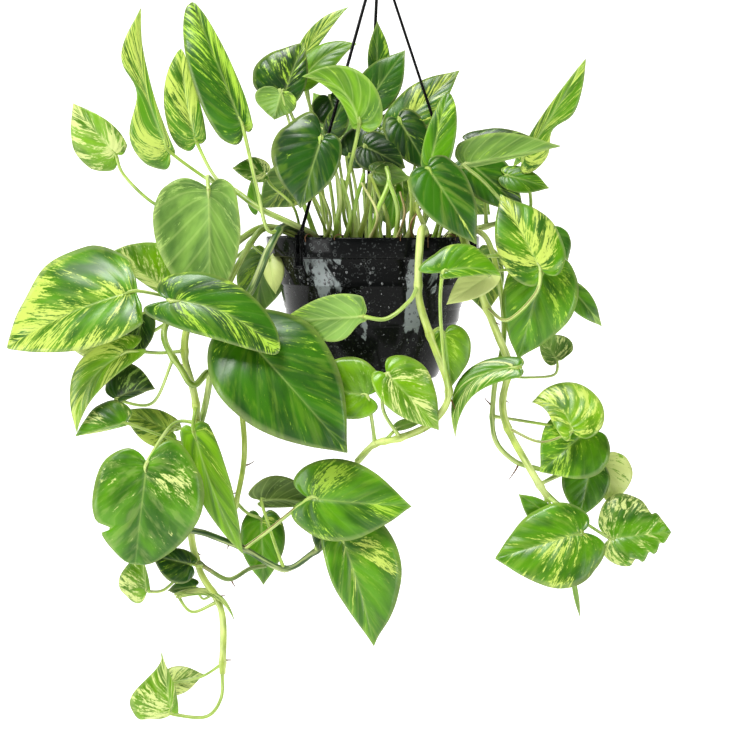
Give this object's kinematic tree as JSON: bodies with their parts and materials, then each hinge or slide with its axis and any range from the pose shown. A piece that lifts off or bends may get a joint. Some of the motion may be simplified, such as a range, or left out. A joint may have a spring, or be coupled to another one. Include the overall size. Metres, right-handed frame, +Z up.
{
  "type": "potted pothos plant",
  "caption": "Trailing variegated pothos in a black plastic hanging pot, with a strand hanger that clips onto the rim and a hook above.",
  "frame": {"origin": "where the hook bears on the rail or bracket that carries the plant, at the top of the hook's inside", "axes": "+Z up along the hanger, +X to the right and +Y to the back as the plant's fuller side is seen from the front"},
  "size_m": [0.5973, 0.2264, 0.7532],
  "materials": {
    "pot_plastic": "gloss",
    "hanger_plastic": "satin",
    "potting_mix": "matte",
    "vine": "satin",
    "leaf": "satin",
    "leaf_underside": "matte"
  },
  "bodies": {
    "root": {"pot": "pot_plastic", "soil": "potting_mix", "hanger_hook": "hanger_plastic", "hanger_strand_left": "hanger_plastic", "hanger_strand_right": "hanger_plastic", "hanger_strand_back": "hanger_plastic", "vine_left_long": "vine", "vine_left_dark": "vine", "vine_middle": "vine", "vine_cross": "vine", "vine_front": "vine", "vine_right_thin": "vine", "vine_right_thick": "vine", "stem_left_crown": "vine", "stem_right_crown": "vine", "leaf_far_left_top": "leaf", "leaf_left_twisted": "leaf", "leaf_left_narrow": "leaf", "leaf_left_tall": "leaf", "leaf_left_hanging": "leaf_underside", "leaf_left_behind": "leaf", "leaf_left_big": "leaf", "leaf_front_left": "leaf", "leaf_front_big": "leaf", "leaf_left_pointed": "leaf", "leaf_left_dark": "leaf", "leaf_left_heart": "leaf", "leaf_left_folded": "leaf", "leaf_low_grey": "leaf_underside", "leaf_low_hanging": "leaf", "leaf_low_heart": "leaf", "leaf_low_big": "leaf", "leaf_low_pale": "leaf", "leaf_low_arched": "leaf", "leaf_lowest": "leaf", "leaf_lowest_pale": "leaf", "leaf_front_pale": "leaf_underside", "leaf_below_pot_left": "leaf", "leaf_below_pot_right": "leaf", "leaf_pot_right": "leaf", "leaf_right_hidden": "leaf", "leaf_right_bowed": "leaf", "leaf_right_variegated": "leaf", "leaf_right_big": "leaf", "leaf_right_low_pale": "leaf_underside", "leaf_right_dark": "leaf", "leaf_right_upright": "leaf", "leaf_right_pale": "leaf_underside", "leaf_right_tall": "leaf", "leaf_right_deep": "leaf", "leaf_top_dark": "leaf", "leaf_top_right": "leaf", "leaf_top_bright": "leaf", "leaf_top_left": "leaf", "leaf_top_pale": "leaf_underside", "leaf_top_heart": "leaf", "leaf_cluster_top": "leaf", "leaf_cluster_round": "leaf", "leaf_cluster_low": "leaf", "leaf_cluster_ragged": "leaf"}
  },
  "joints": []
}
